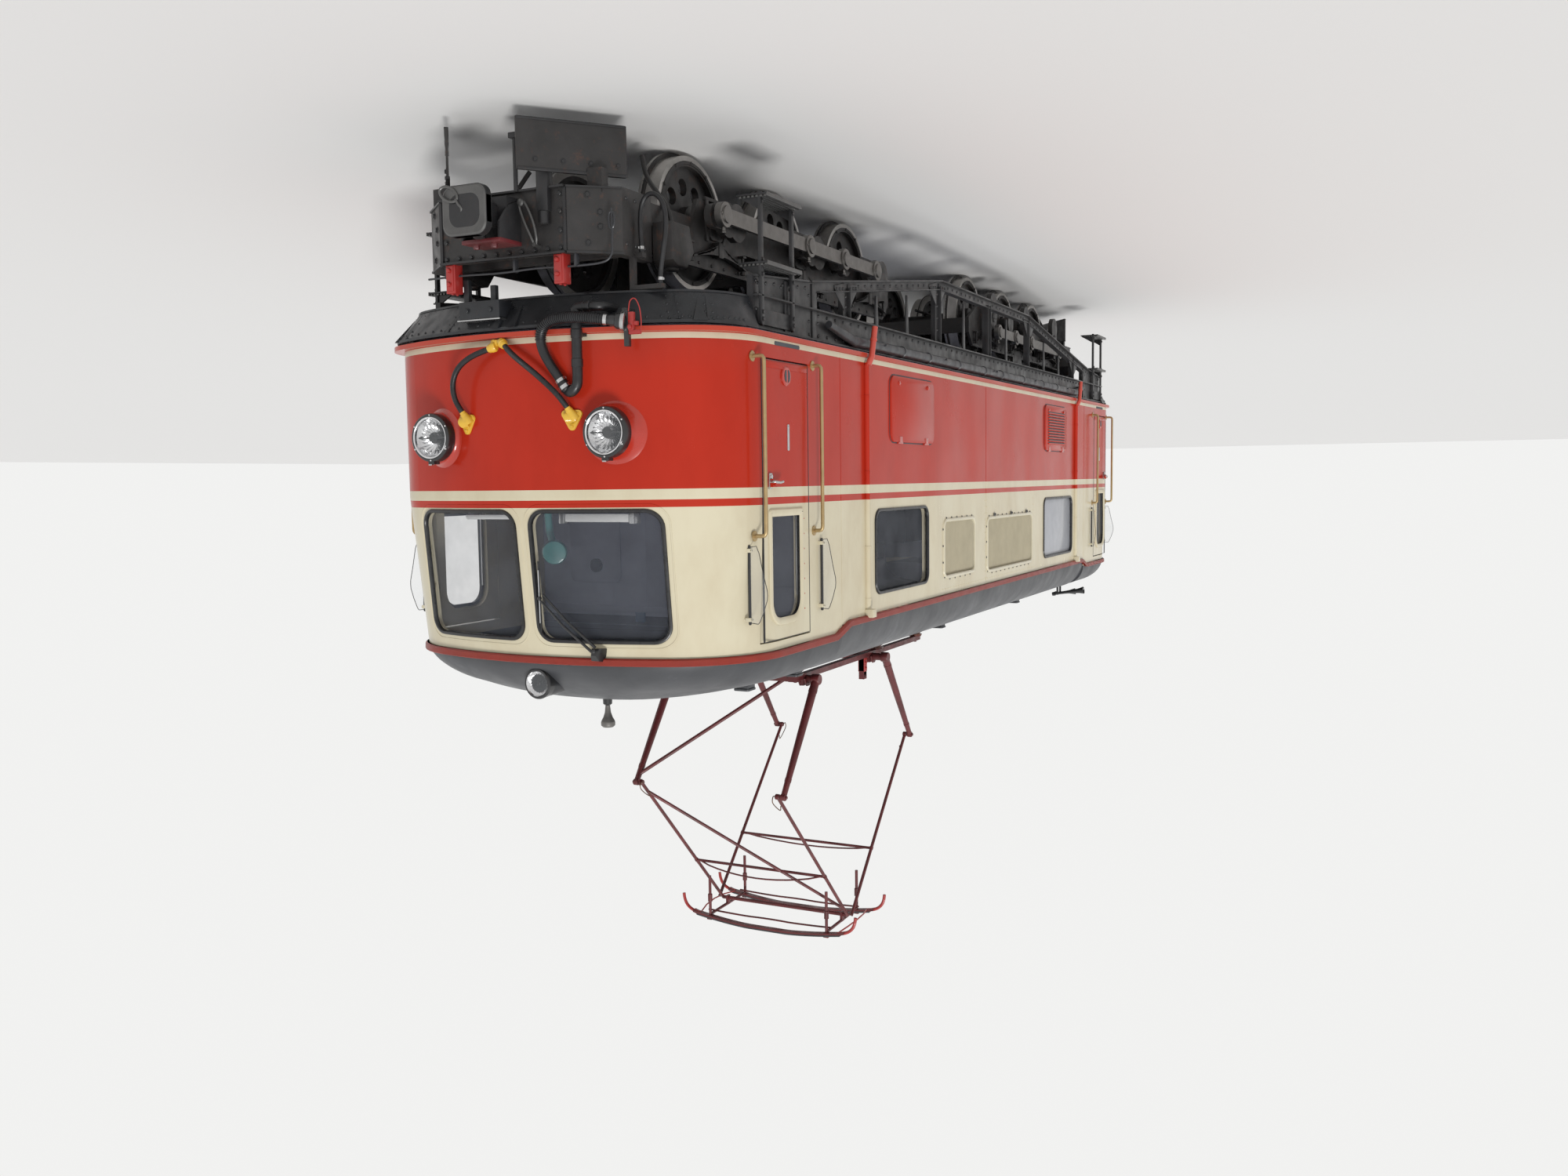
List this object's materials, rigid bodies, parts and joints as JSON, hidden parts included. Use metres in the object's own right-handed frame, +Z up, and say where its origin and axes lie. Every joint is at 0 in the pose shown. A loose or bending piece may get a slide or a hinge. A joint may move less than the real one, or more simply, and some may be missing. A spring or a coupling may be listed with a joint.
{
  "type": "electric locomotive",
  "caption": "Narrow-gauge electric locomotive with a cab at each end, rod-driven bogies under truss side frames and a diamond pantograph on the roof.",
  "frame": {"origin": "centre of the locomotive in plan, at the lowest point of the wheel flanges, 28 mm below the rails' tops", "axes": "+X along the track towards the end with the raised pantograph, +Z up, +Y to the left of someone who looks along +X"},
  "size_m": [11.02, 2.5582, 5.528],
  "materials": {
    "body_orange": "gloss",
    "door_orange": "gloss",
    "roof_grey": "satin",
    "gutter_red": "gloss",
    "grille_cream": "satin",
    "frame_black": "satin",
    "running_gear": "matte",
    "rod_steel": "satin",
    "window_glass": "clear",
    "pantograph_red": "satin",
    "rail_brass": "satin",
    "lamp_chrome": "polished",
    "hose_rubber": "matte",
    "socket_yellow": "satin",
    "inside_grey": "satin",
    "duct_grey": "satin"
  },
  "bodies": {
    "body": {"air_ducts": "duct_grey", "cab_bulkheads": "inside_grey", "cab_desks_and_seats": "inside_grey", "cab_shell_front": "body_orange", "cab_shell_rear": "body_orange", "cab_steps": "frame_black", "end_aprons": "frame_black", "filter_grilles": "grille_cream", "floor": "inside_grey", "gutters": "gutter_red", "handrails": "rail_brass", "headlights": "lamp_chrome", "heater_fittings": "frame_black", "heater_hose": "hose_rubber", "jumper_cable_left": "hose_rubber", "jumper_cable_right": "hose_rubber", "jumper_sockets": "socket_yellow", "machine_side_left": "body_orange", "machine_side_right": "body_orange", "pantograph_base": "pantograph_red", "roof_cab_front": "roof_grey", "roof_cab_rear": "roof_grey", "roof_fittings": "frame_black", "roof_machine_room": "roof_grey", "side_hatches": "body_orange", "side_windows": "window_glass", "transformer": "inside_grey", "truss_sides": "frame_black", "underframe": "frame_black", "wind_deflectors": "frame_black", "windscreens": "window_glass"},
    "bogie_front": {"bogie_front_frame": "frame_black", "bogie_front_coupler": "frame_black", "bogie_front_motor": "frame_black", "brake_hose": "hose_rubber"},
    "wheelset_front_1": {"wheelset_front_1": "running_gear"},
    "wheelset_front_2": {"wheelset_front_2": "running_gear"},
    "wheelset_front_3": {"wheelset_front_3": "running_gear"},
    "jackshaft_front": {"jackshaft_front": "running_gear"},
    "rod_front_left": {"rod_front_left": "rod_steel"},
    "door_front_left": {"door_front_left": "door_orange"},
    "rod_front_right": {"rod_front_right": "rod_steel"},
    "door_front_right": {"door_front_right": "door_orange"},
    "bogie_rear": {"bogie_rear_frame": "frame_black", "bogie_rear_coupler": "frame_black", "bogie_rear_motor": "frame_black"},
    "wheelset_rear_1": {"wheelset_rear_1": "running_gear"},
    "wheelset_rear_2": {"wheelset_rear_2": "running_gear"},
    "wheelset_rear_3": {"wheelset_rear_3": "running_gear"},
    "jackshaft_rear": {"jackshaft_rear": "running_gear"},
    "rod_rear_left": {"rod_rear_left": "rod_steel"},
    "door_rear_left": {"door_rear_left": "door_orange"},
    "rod_rear_right": {"rod_rear_right": "rod_steel"},
    "door_rear_right": {"door_rear_right": "door_orange"},
    "pantograph_lower_near": {"pantograph_lower_near": "pantograph_red"},
    "pantograph_lower_far": {"pantograph_lower_far": "pantograph_red"},
    "pantograph_upper_near": {"pantograph_upper_near": "pantograph_red"},
    "pantograph_upper_far": {"pantograph_upper_far": "pantograph_red"},
    "pantograph_head": {"pantograph_head": "pantograph_red"}
  },
  "joints": [
    {"name": "bogie_front_yaw", "type": "hinge", "parent": "body", "child": "bogie_front", "pos_m": [2.75, 0, 0.9], "axis": [0, 0, 1], "range_deg": [-3, 3]},
    {"name": "wheelset_front_2_spin", "type": "hinge", "parent": "bogie_front", "child": "wheelset_front_2", "pos_m": [2.75, 0, 0.428], "axis": [0, 1, 0], "continuous": true},
    {"name": "wheelset_front_1_spin", "type": "hinge", "parent": "bogie_front", "child": "wheelset_front_1", "pos_m": [3.95, 0, 0.428], "axis": [0, 1, 0], "continuous": true},
    {"name": "wheelset_front_3_spin", "type": "hinge", "parent": "bogie_front", "child": "wheelset_front_3", "pos_m": [1.55, 0, 0.428], "axis": [0, 1, 0], "continuous": true},
    {"name": "jackshaft_front_spin", "type": "hinge", "parent": "bogie_front", "child": "jackshaft_front", "pos_m": [2.15, 0, 0.428], "axis": [0, 1, 0], "continuous": true},
    {"name": "rod_front_left_pin", "type": "hinge", "parent": "wheelset_front_2", "child": "rod_front_left", "pos_m": [2.9, -0.768, 0.428], "axis": [0, 1, 0], "continuous": true},
    {"name": "rod_front_right_pin", "type": "hinge", "parent": "wheelset_front_2", "child": "rod_front_right", "pos_m": [2.75, 0.768, 0.578], "axis": [0, 1, 0], "continuous": true},
    {"name": "bogie_rear_yaw", "type": "hinge", "parent": "body", "child": "bogie_rear", "pos_m": [-2.75, 0, 0.9], "axis": [0, 0, 1], "range_deg": [-3, 3]},
    {"name": "wheelset_rear_2_spin", "type": "hinge", "parent": "bogie_rear", "child": "wheelset_rear_2", "pos_m": [-2.75, 0, 0.428], "axis": [0, 1, 0], "continuous": true},
    {"name": "wheelset_rear_1_spin", "type": "hinge", "parent": "bogie_rear", "child": "wheelset_rear_1", "pos_m": [-3.95, 0, 0.428], "axis": [0, 1, 0], "continuous": true},
    {"name": "wheelset_rear_3_spin", "type": "hinge", "parent": "bogie_rear", "child": "wheelset_rear_3", "pos_m": [-1.55, 0, 0.428], "axis": [0, 1, 0], "continuous": true},
    {"name": "jackshaft_rear_spin", "type": "hinge", "parent": "bogie_rear", "child": "jackshaft_rear", "pos_m": [-2.15, 0, 0.428], "axis": [0, 1, 0], "continuous": true},
    {"name": "rod_rear_right_pin", "type": "hinge", "parent": "wheelset_rear_2", "child": "rod_rear_right", "pos_m": [-2.9, 0.768, 0.428], "axis": [0, 1, 0], "continuous": true},
    {"name": "rod_rear_left_pin", "type": "hinge", "parent": "wheelset_rear_2", "child": "rod_rear_left", "pos_m": [-2.75, -0.768, 0.578], "axis": [0, 1, 0], "continuous": true},
    {"name": "door_front_left_hinge", "type": "hinge", "parent": "body", "child": "door_front_left", "pos_m": [3.879, -1.15, 2.1], "axis": [0, 0, 1], "range_deg": [0, 88]},
    {"name": "door_front_right_hinge", "type": "hinge", "parent": "body", "child": "door_front_right", "pos_m": [3.879, 1.15, 2.1], "axis": [0, 0, -1], "range_deg": [0, 88]},
    {"name": "door_rear_right_hinge", "type": "hinge", "parent": "body", "child": "door_rear_right", "pos_m": [-3.879, 1.15, 2.1], "axis": [0, 0, 1], "range_deg": [0, 88]},
    {"name": "door_rear_left_hinge", "type": "hinge", "parent": "body", "child": "door_rear_left", "pos_m": [-3.879, -1.15, 2.1], "axis": [0, 0, -1], "range_deg": [0, 88]},
    {"name": "pantograph_lift", "type": "hinge", "parent": "body", "child": "pantograph_lower_near", "pos_m": [2.484, 0, 3.448], "axis": [0, 1, 0], "range_deg": [-6, 50]},
    {"name": "pantograph_lift_far", "type": "hinge", "parent": "body", "child": "pantograph_lower_far", "pos_m": [1.204, 0, 3.448], "axis": [0, -1, 0], "range_deg": [-6, 50]},
    {"name": "pantograph_knee_near", "type": "hinge", "parent": "pantograph_lower_near", "child": "pantograph_upper_near", "pos_m": [3.052, 0, 4.193], "axis": [0, 1, 0], "range_deg": [-74, 10]},
    {"name": "pantograph_knee_far", "type": "hinge", "parent": "pantograph_lower_far", "child": "pantograph_upper_far", "pos_m": [0.636, 0, 4.193], "axis": [0, -1, 0], "range_deg": [-74, 10]},
    {"name": "pantograph_head_level", "type": "hinge", "parent": "pantograph_upper_near", "child": "pantograph_head", "pos_m": [1.844, 0, 5.417], "axis": [0, 1, 0], "range_deg": [-4, 24]}
  ],
  "couplings": [
    {"joint": "wheelset_front_1_spin", "follows": "wheelset_front_2_spin", "ratio": 1},
    {"joint": "wheelset_front_3_spin", "follows": "wheelset_front_2_spin", "ratio": 1},
    {"joint": "jackshaft_front_spin", "follows": "wheelset_front_2_spin", "ratio": 1},
    {"joint": "rod_front_left_pin", "follows": "wheelset_front_2_spin", "ratio": -1},
    {"joint": "rod_front_right_pin", "follows": "wheelset_front_2_spin", "ratio": -1},
    {"joint": "wheelset_rear_1_spin", "follows": "wheelset_rear_2_spin", "ratio": 1},
    {"joint": "wheelset_rear_3_spin", "follows": "wheelset_rear_2_spin", "ratio": 1},
    {"joint": "jackshaft_rear_spin", "follows": "wheelset_rear_2_spin", "ratio": 1},
    {"joint": "rod_rear_right_pin", "follows": "wheelset_rear_2_spin", "ratio": -1},
    {"joint": "rod_rear_left_pin", "follows": "wheelset_rear_2_spin", "ratio": -1},
    {"joint": "pantograph_lift_far", "follows": "pantograph_lift", "ratio": 1},
    {"joint": "pantograph_knee_near", "follows": "pantograph_lift", "ratio": -1.44},
    {"joint": "pantograph_knee_far", "follows": "pantograph_lift", "ratio": -1.44},
    {"joint": "pantograph_head_level", "follows": "pantograph_lift", "ratio": 0.44}
  ]
}
